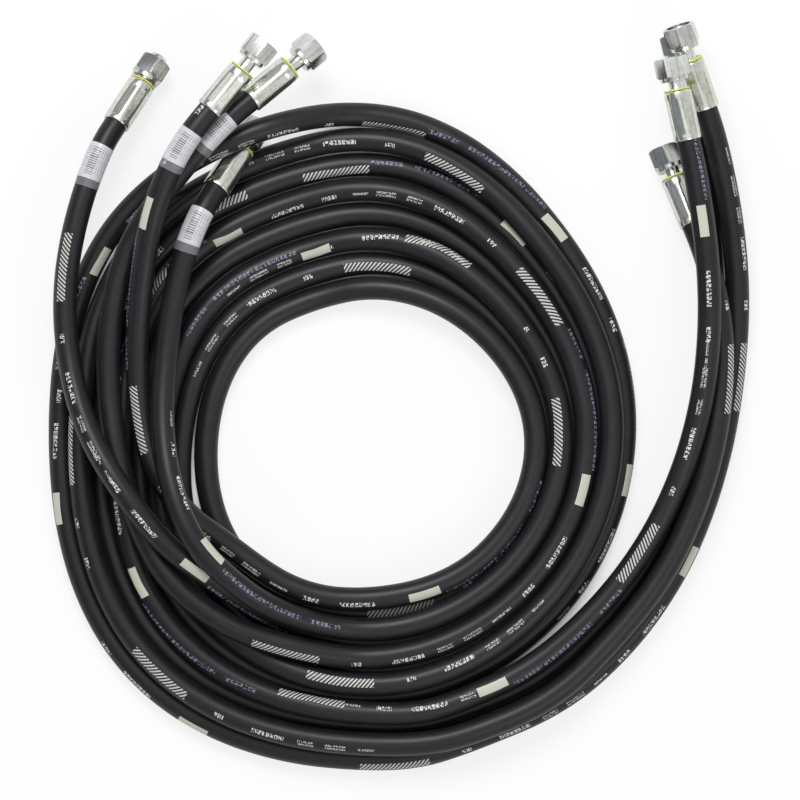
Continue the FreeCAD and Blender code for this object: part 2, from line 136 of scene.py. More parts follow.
# Control points of the free runs in metres. Lead: from the start run to the first turn. Down:
# stations that lead into the coil, as (quarter turn, radius, height). Slopes: of radius and height
# for a quarter turn. Turns: the columns that the hose fills, one turn each. Leaves: the column that
# it is in as it leaves.
HOSES = {
    "a": {
        "start": [(-0.1709, 0.2579, 0.0206), (-0.1998, 0.2119, 0.0377), (-0.217, 0.161, 0.04),
                  (-0.2255, 0.11, 0.036), (-0.2225, 0.059, 0.037), (-0.209, 0.008, 0.049),
                  (-0.183, -0.036, 0.06), (-0.151, -0.075, 0.0545)],
        "lead": 0.026, "down": [(-0.5, 0.1515, 0.038), (-0.25, 0.147, 0.015)],
        "start_slope": (-0.044, -0.09), "turns": [3, 7], "leaves": 11, "end_slope": 0.003,
        "end": [(0.0725, -0.219, 0.0087), (0.139, -0.1912, 0.0087), (0.1873, -0.1473, 0.0087),
                (0.2204, -0.0998, 0.0087), (0.2412, -0.0536, 0.0087), (0.2561, -0.0025, 0.0087),
                (0.2644, 0.0507, 0.009), (0.2675, 0.106, 0.014), (0.2626, 0.1615, 0.019),
                (0.2511, 0.2174, 0.0261), (0.232, 0.2734, 0.0363)],
    },
    "b": {
        "start": [(-0.0975, 0.2654, 0.0712), (-0.1381, 0.2156, 0.0753), (-0.1585, 0.1725, 0.0705),
                  (-0.168, 0.1235, 0.051), (-0.1725, 0.0725, 0.04), (-0.17, 0.024, 0.036),
                  (-0.1615, -0.017, 0.0405), (-0.1385, -0.052, 0.0365)],
        "lead": 0.026, "down": [(-0.5, 0.1255, 0.027), (-0.25, 0.1205, 0.025)],
        "start_slope": (-0.028, -0.006), "turns": [0, 1, 5], "leaves": 9, "end_slope": 0.01,
        "end": [(0.062, -0.1995, 0.0087), (0.1225, -0.175, 0.0087), (0.168, -0.1325, 0.0087),
                (0.203, -0.088, 0.0087), (0.226, -0.038, 0.0087), (0.2386, 0.0132, 0.0087),
                (0.246, 0.0667, 0.0087), (0.2495, 0.1235, 0.0087), (0.2426, 0.204, 0.0099),
                (0.2266, 0.2702, 0.0125)],
    },
    "c": {
        "start": [(-0.0643, 0.2686, 0.049), (-0.1111, 0.2297, 0.0607), (-0.1495, 0.1855, 0.051),
                  (-0.1805, 0.1395, 0.0405), (-0.192, 0.09, 0.038), (-0.1935, 0.0385, 0.036),
                  (-0.187, -0.011, 0.0395), (-0.173, -0.0575, 0.0395)],
        "lead": 0.034, "down": [(-0.5, 0.174, 0.04), (-0.25, 0.1615, 0.0335)],
        "start_slope": (-0.034, -0.006), "turns": [4], "leaves": 8, "end_slope": 0.01,
        "end": [(0.0605, -0.1915, 0.0249), (0.1153, -0.1668, 0.0246), (0.1623, -0.1258, 0.0246),
                (0.1985, -0.0798, 0.025), (0.2238, -0.0295, 0.0295), (0.2392, 0.0235, 0.037),
                (0.2454, 0.0764, 0.044), (0.2442, 0.1305, 0.0505), (0.2359, 0.1884, 0.0535),
                (0.2219, 0.2509, 0.055)],
    },
    "d": {
        "start": [(-0.0985, 0.209, 0.0261), (-0.129, 0.16, 0.0506), (-0.144, 0.114, 0.047),
                  (-0.151, 0.063, 0.043), (-0.154, 0.0115, 0.049), (-0.1465, -0.037, 0.061)],
        "lead": 0.036, "down": [(-0.5, 0.144, 0.0565), (-0.25, 0.14, 0.0335)],
        "start_slope": (-0.012, -0.05), "turns": [2, 6], "leaves": 10, "end_slope": 0.01,
        "end": [(0.0676, -0.2156, 0.0263), (0.1312, -0.1891, 0.026), (0.1775, -0.143, 0.025),
                (0.2125, -0.0986, 0.0252), (0.2358, -0.0495, 0.0258), (0.2505, 0.0009, 0.026),
                (0.2559, 0.0521, 0.026), (0.2535, 0.093, 0.029), (0.2437, 0.1334, 0.029),
                (0.2218, 0.1885, 0.0192)],
    },
}
# How far each nut's back edge stands from the mouth of its ferrule in millimetres, left end and
# right end
NUT_AT = {"a": (40.0, 46.4), "b": (46.6, 43.6), "c": (46.6, 44.0), "d": (44.6, 43.6)}
# How far each nut is turned from the place with a corner on top, in degrees, plus to the right
NUT_TURN = {"a": (6.5, -13.0), "b": (9.5, 0.0), "c": (-24.0, -25.0), "d": (0.0, 0.0)}
# Print on each cover: plain blocks and plain stripes at these lengths in metres from the left
# end, and where the printed line lies round the hose there, in degrees from the top
BLOCKS = {
    "a": [0.396, 1.833, 2.028, 2.436, 2.623, 2.812, 3.229], "b": [0.119, 0.544, 2.54],
    "c": [0.799, 1.212, 1.496, 1.792, 2.193], "d": [0.316, 0.937],
}
STRIPES = {
    "a": [0.145, 2.172, 2.961, 3.368], "b": [0.274, 1.276, 1.65, 2.048, 2.684, 2.777],
    "c": [0.526, 0.947, 1.267, 1.655, 1.939],
    "d": [0.68, 0.845, 1.38, 1.917, 2.338, 2.515, 3.091],
}
PRINT_TURN = {
    "a": [(0.145, 21), (0.396, 14), (1.833, 50), (2.028, 18), (2.172, -60),
          (2.436, -34), (2.623, 45), (2.812, 60), (2.961, 46), (3.229, 42), (3.368, 45)],
    "b": [(0.119, 40), (0.274, 26), (0.544, 29), (1.276, 0), (1.65, -17), (2.048, 28),
          (2.54, 33), (2.684, -37), (2.777, 1)],
    "c": [(0.526, 40), (0.799, 18), (0.947, 12), (1.212, -50), (1.267, 38), (1.496, 31),
          (1.655, -50), (1.792, 2), (1.939, -10), (2.193, -2)],
    "d": [(0.316, -48), (0.68, -15), (0.845, 48), (0.937, -33), (1.38, -8), (1.917, -29),
          (2.338, 60), (2.515, 23), (3.091, 48)],
}


def rest_height(station, column):
    """Height of a turn: on the floor, or in the valley between its two lower neighbours."""
    if column not in UPPER[station]:
        return LOW
    radii = COLUMNS[station]
    near = [abs(radii[i] - radii[column]) for i in (column - 1, column + 1) if 0 <= i < len(radii)]
    gap = min(min(near) * MM, PITCH)
    return LOW + math.sqrt(PITCH ** 2 - gap ** 2)


def stations(hose):
    """Stations of a hose on the coil: (quarter turn, radius, height)."""
    found = list(hose["down"])
    path = [column for column in hose["turns"] for _ in range(8)] + [hose["leaves"]]
    for step, column in enumerate(path):
        place = step % 8
        height = rest_height(place, column)
        crosses = column == CROSSING
        if place == TOP and column in UPPER[TOP - 1]:
            height = TOP_HEIGHT
        if crosses and place == TOP:
            height = BEFORE_HUMP
        if crosses and place == TOP + 1:
            height = AFTER_HUMP
        found.append((step / 2, COLUMNS[place][column] * MM, height))
        if place == TOP:
            radius = CROSSING_RADIUS if crosses else TOP_FIRST + TOP_STEP * column
            found.append((step / 2 + 0.25, radius * MM, HUMP if crosses else LOW))
    return found


def slope_table(found, hose):
    """Slopes of radius and height at the stations, height slopes without overshoot."""
    slopes = [hose["start_slope"]]
    for before, here, after in zip(found, found[1:], found[2:]):
        wide = (here[0] - before[0], after[0] - here[0])
        radial = ((here[1] - before[1]) / wide[0], (after[1] - here[1]) / wide[1])
        rise = ((here[2] - before[2]) / wide[0], (after[2] - here[2]) / wide[1])
        turn = (radial[0] * wide[1] + radial[1] * wide[0]) / (wide[0] + wide[1])
        lift = 0.0
        if rise[0] * rise[1] > 0:
            lift = 2 * rise[0] * rise[1] / (rise[0] + rise[1])
        slopes.append((turn, lift))
    slopes.append((hose["end_slope"], 0.0))
    return slopes


def coil_angle(turn):
    """Angle of a quarter turn in the plan: the turns are counted from the bottom of the coil."""
    return math.radians(270 + 90 * turn)


def spiral_point(turn, radius, height):
    angle = coil_angle(turn)
    return Vector((radius * math.cos(angle), radius * math.sin(angle), height)) + SHIFT


def eased(t, wide, low, high, low_slope, high_slope):
    """A cubic from low to high that has the given slopes at its ends."""
    return ((2 * t ** 3 - 3 * t ** 2 + 1) * low + (t ** 3 - 2 * t ** 2 + t) * wide * low_slope
            + (3 * t ** 2 - 2 * t ** 3) * high + (t ** 3 - t ** 2) * wide * high_slope)


def coil_place(found, slopes, turn):
    """A point of the turns: radius and height run smoothly from station to station."""
    i = max(k for k in range(len(found) - 1) if k == 0 or found[k][0] <= turn)
    (start, *low), (finish, *high) = found[i], found[i + 1]
    wide = finish - start
    t = (turn - start) / wide
    ends = zip(low, high, slopes[i], slopes[i + 1])
    return spiral_point(turn, *[eased(t, wide, *values) for values in ends])


def route_points(hose):
    """Control points of a hose: free start run, the turns, free end run."""
    found = stations(hose)
    slopes = slope_table(found, hose)
    ways = []
    for k in (0, -1):
        turn, radius, height = found[k]
        angle = coil_angle(turn)
        out = Vector((math.cos(angle), math.sin(angle), 0))
        along = Vector((-math.sin(angle), math.cos(angle), 0))
        way = out * slopes[k][0] + along * (radius * math.pi / 2) + Vector((0, 0, slopes[k][1]))
        ways.append(way.normalized())
    points = [Vector(p) + SHIFT for p in hose["start"]]
    points.append(spiral_point(*found[0]) - ways[0] * hose["lead"])
    first, last = found[0][0], found[-1][0]
    for k in range(round((last - first) / TURN_STEP)):
        turn = first + TURN_STEP * (k + 0.5)
        before, here, after = [coil_place(found, slopes, turn + step * TURN_STEP)
                               for step in (-1, 0, 1)]
        points.append(here * (1 + 2 * OUTSIDE) - (before + after) * OUTSIDE)
    points.append(spiral_point(*found[-1]) + ways[1] * LEAD_OUT)
    points += [Vector(p) + SHIFT for p in hose["end"]]
    return points


def spline_line(name, points):
    """Points read from the smooth line that the control points give."""
    curve = bpy.data.curves.new(name, "CURVE")
    curve.dimensions = "3D"
    spline = curve.splines.new("NURBS")
    spline.points.add(len(points) - 1)
    for spot, at in zip(spline.points, points):
        spot.co = (*at, 1)
    spline.order_u = 3
    spline.use_endpoint_u = True
    spline.resolution_u = 10
    holder = placed(name, curve)
    depsgraph = bpy.context.evaluated_depsgraph_get()
    mesh = bpy.data.meshes.new_from_object(holder.evaluated_get(depsgraph))
    line = [v.co.copy() for v in mesh.vertices]
    bpy.data.meshes.remove(mesh)
    bpy.data.objects.remove(holder)
    bpy.data.curves.remove(curve)
    return line


class Line:
    """A hose's centre line: its points, their lengths from the left end, and their frames."""

    def __init__(self, points):
        self.points = points
        steps = [(b - a).length for a, b in zip(points, points[1:])]
        self.lengths = [0.0] + list(np.cumsum(steps))
        self.frames = []
        for i, at in enumerate(points):
            before, after = points[max(i - 1, 0)], points[min(i + 1, len(points) - 1)]
            self.frames.append(self.frame(at, (after - before).normalized()))

    def frame(self, at, way):
        right = way.cross(Vector((0, 0, 1))).normalized()
        return at, right, right.cross(way)

    def at(self, length):
        """The frame at a length from the left end."""
        i = max(1, min(int(np.searchsorted(self.lengths, length)), len(self.points) - 1))
        share = (length - self.lengths[i - 1]) / (self.lengths[i] - self.lengths[i - 1])
        low, high = self.frames[i - 1], self.frames[i]
        way = (self.points[i] - self.points[i - 1]).normalized()
        right = low[1].lerp(high[1], share)
        right = (right - way * right.dot(way)).normalized()
        return low[0].lerp(high[0], share), right, right.cross(way)


LINES = {}
for key, hose in HOSES.items():
    points = route_points(hose)
    for tip, inner, place in ((points[0], points[1], 1), (points[-1], points[-2], len(points))):
        points.insert(place, tip + (inner - tip).normalized() * STRAIGHT)
    LINES[key] = Line(spline_line("line_" + key, points))


# ---------------------------------------------------------------------------------------------
# Mesh helpers
SAME_POINT = 1e-6
TEXTURE_RADIUS = 8 * MM


def as_mesh(name, bm):
    """A mesh of the shape, which it uses up."""
    mesh = bpy.data.meshes.new(name)
    bm.to_mesh(mesh)
    bm.free()
    return mesh


def join(bm, other):
    """Puts a second shape into the first, and uses it up."""
    mesh = as_mesh("joined", other)
    bm.from_mesh(mesh)
    bpy.data.meshes.remove(mesh)


def finished(name, bm, material, smooth=35):
    """The piece's object: faces outward, smooth shading except at edges sharper than smooth."""
    bmesh.ops.remove_doubles(bm, verts=bm.verts, dist=SAME_POINT)
    bmesh.ops.recalc_face_normals(bm, faces=bm.faces)
    mesh = as_mesh(name, bm)
    for face in mesh.polygons:
        face.use_smooth = True
    mesh.set_sharp_from_angle(angle=math.radians(smooth))
    mesh.materials.append(material)
    return placed(name, mesh)


def sleeved(name, rows, around, reach, material, closed, paint):
    """A skin wrapped along frames. rows: (frame, radius, length); reach: half angle in radians;
    closed: it goes all the way round; paint gives the UV maps of a corner from its length, its
    angle and the length at its face's middle."""
    bm = bmesh.new()
    bmesh.ops.create_grid(bm, x_segments=around, y_segments=len(rows) - 1, size=1.0)
    maps = [bm.loops.layers.uv.new(layer) for layer in paint]
    spots = {}
    for v in bm.verts:
        row = round((v.co.y + 1) / 2 * (len(rows) - 1))
        spots[v.index] = (row, v.co.x * reach)
    for face in bm.faces:
        middle = sum(rows[spots[v.index][0]][2] for v in face.verts) / len(face.verts)
        for loop in face.loops:
            row, angle = spots[loop.vert.index]
            for layer, rule in zip(maps, paint.values()):
                loop[layer].uv = rule(rows[row][2], angle, middle)
    for v in bm.verts:
        row, angle = spots[v.index]
        (at, right, over), radius, _ = rows[row]
        v.co = at + (over * math.cos(angle) + right * math.sin(angle)) * radius
        v.co.z = max(v.co.z, 0.0)
    if not closed:
        # the two long edges of a strip, between its outer and its inner rows
        for edge in (-1, 1):
            side = [v for v in bm.verts if abs(spots[v.index][1] - edge * reach) < SAME_POINT]
            side.sort(key=lambda v: spots[v.index][0])
            last = len(side) - 2
            for i in range(last // 2):
                bm.faces.new((side[i], side[i + 1], side[last - i - 1], side[last - i]))
    return finished(name, bm, material)


def lathed(profile, steps):
    """A closed profile of (x, radius) in millimetres, turned about X."""
    bm = bmesh.new()
    spots = [bm.verts.new((x * MM, 0, r * MM)) for x, r in profile]
    edges = [bm.edges.new((spots[i], spots[(i + 1) % len(spots)])) for i in range(len(spots))]
    bmesh.ops.spin(bm, geom=spots + edges, cent=(0, 0, 0), axis=(1, 0, 0), dvec=(0, 0, 0),
                   angle=math.tau, steps=steps, use_merge=True, use_duplicate=False)
    bmesh.ops.remove_doubles(bm, verts=bm.verts, dist=SAME_POINT)
    bmesh.ops.recalc_face_normals(bm, faces=bm.faces)
    return bm


def wrapped(bm):
    """A UV map round the X axis: length along it, and the way round at the texture radius."""
    layer = bm.loops.layers.uv.new("turned")
    for face in bm.faces:
        middle = face.calc_center_median()
        front = math.atan2(middle.z, middle.y)
        for loop in face.loops:
            at = loop.vert.co
            round_by = (math.atan2(at.z, at.y) - front + math.pi) % math.tau - math.pi
            loop[layer].uv = (at.x, (front + round_by) * TEXTURE_RADIUS)
    return bm


def soften(bm, width, least=25, segments=2):
    """Rounds every edge that turns by more than the least angle."""
    edges = [e for e in bm.edges if len(e.link_faces) == 2
             and e.calc_face_angle(0) > math.radians(least)]
    bmesh.ops.bevel(bm, geom=edges, offset=width * MM, affect="EDGES", segments=segments,
                    profile=0.5, material=-1, clamp_overlap=True)


def fitting_place(tip, inner):
    """Place of a fitting: X runs out of the hose and starts at the ferrule's mouth."""
    out = (tip - inner).normalized()
    side = Vector((0, 0, 1)).cross(out).normalized()
    turn = Matrix((out, side, out.cross(side))).transposed().to_4x4()
    return Matrix.Translation(tip - out * HOSE_DEPTH) @ turn


def copy_mesh(bm, place):
    fresh = bm.copy()
    bmesh.ops.transform(fresh, matrix=place, verts=fresh.verts)
    return fresh


# ---------------------------------------------------------------------------------------------
# Materials
class Shade:
    """A shader value that Python arithmetic works on."""

    def __init__(self, nodes, socket):
        self.nodes = nodes
        self.socket = socket

    def math(self, operation, *others):
        return self.nodes.node("ShaderNodeMath", {"operation": operation},
                               dict(enumerate((self,) + others)))

    def __add__(self, other):
        return self.math("ADD", other)

    def __mul__(self, other):
        return self.math("MULTIPLY", other)

    def __sub__(self, other):
        return self.math("SUBTRACT", other)

    def __rsub__(self, other):
        return self * -1.0 + other

    def __truediv__(self, other):
        return self.math("DIVIDE", other)

    __radd__ = __add__
    __rmul__ = __mul__

    def __abs__(self):
        return self.math("ABSOLUTE")

    def most(self, other):
        return self.math("MAXIMUM", other)

    def below(self, limit):
        return self.math("LESS_THAN", limit)

    def above(self, limit):
        return self.math("GREATER_THAN", limit)

    def part(self, unit):
        """What is left over after whole units, from 0 to 1."""
        return (self / unit).math("FRACT")

    def cell(self, unit):
        """The number of the unit that the value lies in."""
        return (self / unit).math("FLOOR")

    def between(self, low, high):
        return self.above(low) * self.below(high)


class Nodes:
    """The node tree of a material or of the world."""

    def __init__(self, owner):
        self.owner = owner
        owner.use_nodes = True
        self.tree = owner.node_tree

    def node(self, kind, settings, values, output=0):
        """Makes a node of a kind from its settings and the values or links of its sockets."""
        made = self.tree.nodes.new(kind)
        for name, value in settings.items():
            if name == "stops":
                ramp = made.color_ramp.elements
                while len(ramp) < len(value):
                    ramp.new(0.5)
                for element, (place, colour) in zip(ramp, value):
                    element.position = place
                    element.color = (*colour, 1)
            else:
                setattr(made, name, value)
        for socket, value in values.items():
            if isinstance(value, Shade):
                self.tree.links.new(value.socket, made.inputs[socket])
            else:
                made.inputs[socket].default_value = value
        return Shade(self, made.outputs[output]) if made.outputs else None

    def mix(self, share, low, high):
        """A colour between two colours."""
        low, high = [c if isinstance(c, Shade) else (*c, 1) for c in (low, high)]
        return self.node("ShaderNodeMix", {"data_type": "RGBA"}, {0: share, 6: low, 7: high}, 2)

    def blend(self, share, low, high):
        """A surface between two surfaces."""
        return self.node("ShaderNodeMixShader", {}, {0: share, 1: low, 2: high})

    def ray(self, kind):
        return self.node("ShaderNodeLightPath", {}, {}, f"Is {kind} Ray")


class Finish(Nodes):
    """One procedural material of the part."""

    def __init__(self, name, **constants):
        super().__init__(bpy.data.materials.new(name))
        self.shader = self.tree.nodes["Principled BSDF"]
        for socket, value in constants.items():
            self.shader.inputs[socket.replace("_", " ")].default_value = value

    def set(self, socket, value):
        self.tree.links.new(value.socket, self.shader.inputs[socket])

    def objects(self):
        return self.node("ShaderNodeTexCoord", {}, {}, "Object")

    def uv(self, layer):
        """The two coordinates of a UV map, in metres."""
        spot = self.node("ShaderNodeUVMap", {"uv_map": layer}, {})
        return [self.node("ShaderNodeSeparateXYZ", {}, {0: spot}, k) for k in (0, 1)]

    def point(self, x, y, z=0.0):
        return self.node("ShaderNodeCombineXYZ", {}, {0: x, 1: y, 2: z})

    def noise(self, spot, scale, detail=2.0, rough=0.5):
        return self.node("ShaderNodeTexNoise", {}, {"Vector": spot, "Scale": scale,
                                                    "Detail": detail, "Roughness": rough})

    def chance(self, x, y):
        """A steady random number for each cell."""
        return self.node("ShaderNodeTexWhiteNoise", {"noise_dimensions": "2D"},
                         {"Vector": self.point(x, y)})

    def ramp(self, value, *stops):
        return self.node("ShaderNodeValToRGB", {"stops": stops}, {0: value})

    def bump(self, height, distance, strength=1.0):
        self.set("Normal", self.node("ShaderNodeBump", {}, {
            "Strength": strength, "Distance": distance, "Height": height}))


# Print on the covers: half lengths and half widths of the stripes and of the pale block
STRIPES_LONG = 25 * MM
STRIPES_WIDE = 3.3 * MM
STRIPE_PITCH = 3.0 * MM
SLANT = 0.8
BLOCK_LONG = 11.5 * MM
BLOCK_WIDE = 3.5 * MM


def cover_finish():
    """Satin black rubber, rubbed lengthwise, with plain marks and rows of small random signs."""
    skin = Finish("cover_rubber", Specular_IOR_Level=0.32)
    along, around = skin.uv("cover")
    from_block, from_stripe = skin.uv("marks")
    spot = skin.objects()
    mottle = skin.noise(spot, 160, 4.0, 0.6)
    drift = skin.noise(spot, 14, 2.0)
    rubbed = skin.noise(skin.point(along * 0.05, around), 900, 3.0, 0.6)
    base = skin.ramp(mottle * 0.3 + drift * 0.3 + rubbed * 0.4,
                     (0.35, (0.0060, 0.0058, 0.0066)), (0.66, (0.0150, 0.0144, 0.0170)))

    def spans(offset, *pairs):
        """Where an offset lies in one of the pairs of limits, in millimetres."""
        return sum(offset.between(low * MM, high * MM) for low, high in pairs)

    def cells(pitch, wide, high, ink):
        """A row of small random signs: ink only in some cells, with a space after each sign."""
        filled = skin.chance(along.cell(wide * MM), around.cell(high * MM)).above(0.40)
        return along.part(pitch * MM).below(ink) * filled

    tall = spans(from_block, (-62, -36), (-88, -77)) + spans(from_stripe, (49, 56), (78, 102))
    tall = tall * around.between(-1.7 * MM, 1.7 * MM) * cells(3.1, 0.75, 1.1, 0.78)
    pair = spans(from_stripe, (112, 124), (132, 147)) * spans(around, (-1.9, -0.4), (0.4, 1.9))
    low = spans(from_block, (-112, -100)) + spans(from_stripe, (156, 168))
    small = (pair + low * around.between(-0.9 * MM, 0.9 * MM)) * cells(1.5, 0.5, 0.75, 0.8)
    worn = skin.noise(skin.point(along, around), 900, 2.0).above(0.30)
    faint = spans(from_block, (15, 86), (94, 118)) * spans(around, (3.6, 6.6))
    faint = faint * cells(3.4, 0.9, 1.0, 0.72)
    stripes = abs(from_stripe).below(STRIPES_LONG) * around.between(-STRIPES_WIDE, STRIPES_WIDE)
    stripes = stripes * (along + around * SLANT).part(STRIPE_PITCH).below(0.5)
    block = abs(from_block).below(BLOCK_LONG) * around.between(-BLOCK_WIDE, BLOCK_WIDE)
    colour = skin.mix(faint * 0.75, base, (0.27, 0.26, 0.38))
    colour = skin.mix((tall + small * 0.85) * worn * 0.96, colour, (0.66, 0.66, 0.63))
    colour = skin.mix(stripes * 0.92, colour, (0.60, 0.61, 0.57))
    colour = skin.mix(block * 0.96, colour, (0.55, 0.57, 0.47))
    skin.set("Base Color", colour)
    skin.set("Roughness", mottle * 0.10 + rubbed * 0.16 + 0.27)
    skin.bump(rubbed * 0.7 + mottle * 0.5, 0.06 * MM, 0.5)
    return skin.owner


def zinc_finish(name, tone, rough, marks):
    """Bright zinc plating, faintly yellow and green, drawn lengthwise, with a few small marks."""
    metal = Finish(name, Metallic=1.0)
    spot = metal.objects()
    along, around = metal.uv("turned")
    drift = metal.noise(spot, 70, 2.0)
    stain = metal.ramp(drift, (0.3, tuple(t * w for t, w in zip(tone, (1.0, 0.99, 0.90)))),
                       (0.5, tone), (0.7, tuple(t * w for t, w in zip(tone, (0.94, 1.0, 0.97)))))
    drawn = metal.noise(metal.point(along * 0.06, around), 420, 3.0, 0.6)
    grime = metal.noise(spot, 300, 4.0, 0.6)
    share = metal.ramp(drawn * 0.7 + grime * 0.3, (0.42, (0, 0, 0)), (0.64, (1, 1, 1)))
    metal.set("Base Color", metal.mix(share * marks, stain, (0.20, 0.19, 0.14)))
    metal.set("Roughness", drawn * 0.16 + grime * 0.08 + rough)
    metal.bump(drawn + grime * 0.12, 0.22 * MM, 0.5)
    return metal.owner


def ring_finish():
    paint = Finish("marker_yellow", Coat_Roughness=0.2)
    spot = paint.objects()
    paint.set("Base Color", paint.ramp(paint.noise(spot, 500, 2.0),
                                       (0.3, (0.58, 0.58, 0.07)), (0.7, (0.78, 0.77, 0.20))))
    paint.set("Roughness", paint.noise(spot, 300, 2.0) * 0.2 + 0.3)
    return paint.owner


# The label: from bar to bar and from dash to dash, and where its rows of dashes lie
BAR_PITCH = 1.6 * MM
DASH_PITCH = 0.7 * MM
DASH_ROWS = ((-7.6, -6.6), (-5.4, -4.4), (-3.2, -2.2), (6.0, 6.9), (8.2, 9.1))


def label_finish():
    """White label with a row of plain dark bars and rows of small grey dashes."""
    paper = Finish("label_paper", Specular_IOR_Level=0.4)
    along, around = paper.uv("cover")
    edge = along.between(2.5 * MM, 23.5 * MM)
    width = paper.chance(along.cell(BAR_PITCH), 4.0) * 0.36 + 0.28
    bars = (width - along.part(BAR_PITCH)).above(0.0) * edge * around.between(-1.2 * MM, 5.0 * MM)
    fine = paper.chance(along.cell(DASH_PITCH), 9.0).above(0.4) * edge
    lines = sum(around.between(low * MM, high * MM) for low, high in DASH_ROWS)
    colour = paper.mix(fine * lines * 0.55, (0.66, 0.67, 0.69), (0.24, 0.23, 0.28))
    colour = paper.mix(bars * 0.9, colour, (0.045, 0.04, 0.055))
    paper.set("Base Color", colour)
    paper.set("Roughness", paper.noise(paper.objects(), 300, 2.0) * 0.1 + 0.35)
    return paper.owner


def clear_finish():
    film = Finish("clear_sleeve", Alpha=0.15, Specular_IOR_Level=0.6)
    spot = film.objects()
    film.set("Base Color", film.ramp(film.noise(spot, 120, 2.0),
                                     (0.3, (0.52, 0.52, 0.58)), (0.7, (0.66, 0.66, 0.70))))
    film.set("Roughness", film.noise(spot, 90, 2.0) * 0.12 + 0.08)
    film.bump(film.noise(spot, 160, 3.0), 0.1 * MM, 0.4)
    return film.owner


def seal_finish():
    rubber = Finish("seal_rubber")
    spot = rubber.objects()
    rubber.set("Base Color", rubber.ramp(rubber.noise(spot, 400, 2.0),
                                         (0.3, (0.012, 0.012, 0.013)), (0.7, (0.03, 0.03, 0.031))))
    rubber.set("Roughness", rubber.noise(spot, 500, 2.0) * 0.2 + 0.35)
    return rubber.owner


COVER = cover_finish()
FERRULE_ZINC = zinc_finish("ferrule_zinc", (0.77, 0.785, 0.745), 0.10, 0.55)
STEM_ZINC = zinc_finish("stem_zinc", (0.78, 0.78, 0.77), 0.03, 0.35)
NUT_ZINC = zinc_finish("nut_zinc", (0.70, 0.71, 0.71), 0.08, 0.50)
YELLOW = ring_finish()
PAPER = label_finish()
FILM = clear_finish()
SEAL = seal_finish()


# ---------------------------------------------------------------------------------------------
# Fittings, made once about the X axis from the ferrule's mouth, in millimetres
FERRULE_LONG = 37.0
FERRULE_RADIUS = 10.25
FERRULE_WALL = 8.75
FACET_RADIUS = 9.85
FACET_TURN = 45
CRIMP_FROM, CRIMP_TO = 3.6, 31.8
RING_LONG = 1.2
RING_RADIUS = 9.8
STEM_BORE = 3.5
TAIL_RADIUS = 4.75
NECK_RADIUS = 5.5
SHOULDER_RADIUS = 7.8
CONE_FROM = 55.5
CONE_RADIUS = 7.2
CONE_ANGLE = 12
NUT_FLATS = 22.0
NUT_LONG = 17.5
NUT_HOLE = 5.56
NUT_BORE = 9.0
THREAD_PITCH = 1.5
THREAD_FROM = 7.4
THREAD_TURNS = 6
THREAD_STEPS = 48


def smooth_share(value, low, high):
    """0 below low, 1 above high, and a smooth way between."""
    t = min(max((value - low) / (high - low), 0.0), 1.0)
    return t * t * (3 - 2 * t)


def ferrule_shape():
    """Crimped shell: rounded mouth, eight pressed facets with soft ridges, rounded front."""
    along = [0.0, 0.25, 0.8, 2.2, CRIMP_FROM, 4.1, 4.7, 5.4] + spaced(8.0, 3.0, 8)
    along += [30.0, 30.7, 31.4, 32.2, 35.2, 35.9, 36.5, FERRULE_LONG]
    fall = {0.0: 0.75, 0.25: 0.3, 35.9: 0.14, 36.5: 0.6, FERRULE_LONG: 1.6}
    profile = [(0.0, FERRULE_WALL)] + [(x, FERRULE_RADIUS - fall.get(x, 0.0)) for x in along]
    profile += [(FERRULE_LONG, 6.0), (34.0, 6.0), (34.0, FERRULE_WALL)]
    bm = lathed(profile, 96)
    for v in bm.verts:
        x = v.co.x / MM
        out = math.hypot(v.co.y, v.co.z) / MM
        if out < 9.4 or not CRIMP_FROM < x < CRIMP_TO:
            continue
        angle = math.degrees(math.atan2(v.co.y, v.co.z)) % FACET_TURN - FACET_TURN / 2
        flat = FACET_RADIUS / math.cos(math.radians(angle))
        ridge = FERRULE_RADIUS + 0.06 * smooth_share(abs(angle), 17, 21)
        target = min(flat, ridge)
        share = smooth_share(x, CRIMP_FROM, 5.0) * (1 - smooth_share(x, 30.2, CRIMP_TO))
        scale = (out + (target - out) * share) / out
        v.co.y *= scale
        v.co.z *= scale
    return bm


def cone_radius(beyond):
    return CONE_RADIUS - beyond * math.tan(math.radians(CONE_ANGLE))


def stem_shape():
    """Tail with barbs, collar, neck, shoulder and grooved sealing cone."""
    tail = [(2.0, STEM_BORE), (2.0, 4.15), (2.6, TAIL_RADIUS)]
    for x in spaced(6.0, 4.5, 6):
        tail += [(x, TAIL_RADIUS), (x + 0.2, 4.45), (x + 1.6, TAIL_RADIUS)]
    front = [(33.4, TAIL_RADIUS), (33.4, 6.0), (38.2, 6.0), (38.2, NECK_RADIUS),
             (50.7, NECK_RADIUS), (53.0, SHOULDER_RADIUS), (CONE_FROM, SHOULDER_RADIUS),
             (CONE_FROM, CONE_RADIUS), (56.7, cone_radius(1.2)), (56.7, 5.7), (58.4, 5.7),
             (58.4, cone_radius(2.9)), (61.5, cone_radius(6.0)), (61.5, STEM_BORE)]
    bm = lathed(tail + front, 64)
    soften(bm, 0.18)
    return bm


